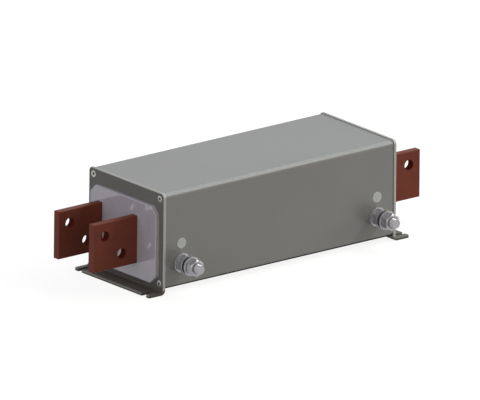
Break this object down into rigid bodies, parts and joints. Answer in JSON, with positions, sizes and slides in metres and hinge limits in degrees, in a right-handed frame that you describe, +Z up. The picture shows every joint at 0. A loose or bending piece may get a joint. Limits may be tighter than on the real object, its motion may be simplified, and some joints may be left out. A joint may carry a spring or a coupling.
{
  "type": "dc line filter",
  "caption": "Long closed sheet-metal filter case on folded slotted feet, with flat copper bars through both ends and earth studs on its long side.",
  "frame": {"origin": "middle of the case, at the height of the feet's underside", "axes": "+X along the case and its bars, +Z up from the feet, -Y out along the earth studs"},
  "size_m": [0.42, 0.1506, 0.1064],
  "materials": {
    "case_grey": "satin grey coated steel sheet",
    "insulator_grey": "smooth moulded grey",
    "bar_copper": "dark oxidised copper, satin",
    "zinc_hardware": "zinc plated steel",
    "mark_disc": "plain light grey disc",
    "liner_film": "natural insulating sheet",
    "core_ribbon": "wound soft magnetic ribbon",
    "choke_plastic": "black moulded",
    "board_laminate": "green glass laminate",
    "capacitor_case": "blue-grey moulded case",
    "resistor_coat": "cement coating",
    "strap_copper": "tinned copper strip"
  },
  "bodies": {
    "root": {"case_sleeve": "case_grey", "end_cover_left": "case_grey", "end_cover_right": "case_grey", "terminal_insulator_left": "insulator_grey", "terminal_insulator_right": "insulator_grey", "bus_bar_front": "bar_copper", "bus_bar_rear": "bar_copper", "earth_bolt_left": "zinc_hardware", "earth_base_washer_left": "zinc_hardware", "earth_inner_lug_washer_left": "zinc_hardware", "earth_outer_lug_washer_left": "zinc_hardware", "earth_fixing_nut_left": "zinc_hardware", "earth_terminal_nut_left": "zinc_hardware", "cover_screws_left": "zinc_hardware", "earth_mark_left": "mark_disc", "filter_board_left": "board_laminate", "board_spacers_left": "zinc_hardware", "board_screws_left": "zinc_hardware", "line_capacitor_left": "capacitor_case", "earth_capacitor_front_left": "capacitor_case", "earth_capacitor_rear_left": "capacitor_case", "earth_strap_left": "strap_copper", "earth_bolt_right": "zinc_hardware", "earth_base_washer_right": "zinc_hardware", "earth_inner_lug_washer_right": "zinc_hardware", "earth_outer_lug_washer_right": "zinc_hardware", "earth_fixing_nut_right": "zinc_hardware", "earth_terminal_nut_right": "zinc_hardware", "cover_screws_right": "zinc_hardware", "earth_mark_right": "mark_disc", "filter_board_right": "board_laminate", "board_spacers_right": "zinc_hardware", "board_screws_right": "zinc_hardware", "line_capacitor_right": "capacitor_case", "earth_capacitor_front_right": "capacitor_case", "earth_capacitor_rear_right": "capacitor_case", "earth_strap_right": "strap_copper", "tie_rod_front_bottom": "zinc_hardware", "tie_rod_front_top": "zinc_hardware", "tie_rod_rear_bottom": "zinc_hardware", "tie_rod_rear_top": "zinc_hardware", "liner_bottom": "liner_film", "liner_top": "liner_film", "liner_rear": "liner_film", "liner_front": "liner_film", "choke_core_1": "core_ribbon", "choke_case_1": "choke_plastic", "choke_lid_1": "choke_plastic", "choke_core_2": "core_ribbon", "choke_case_2": "choke_plastic", "choke_lid_2": "choke_plastic", "choke_core_3": "core_ribbon", "choke_case_3": "choke_plastic", "choke_lid_3": "choke_plastic", "discharge_resistor": "resistor_coat", "link_screws": "zinc_hardware", "link_nuts": "zinc_hardware"}
  },
  "joints": []
}
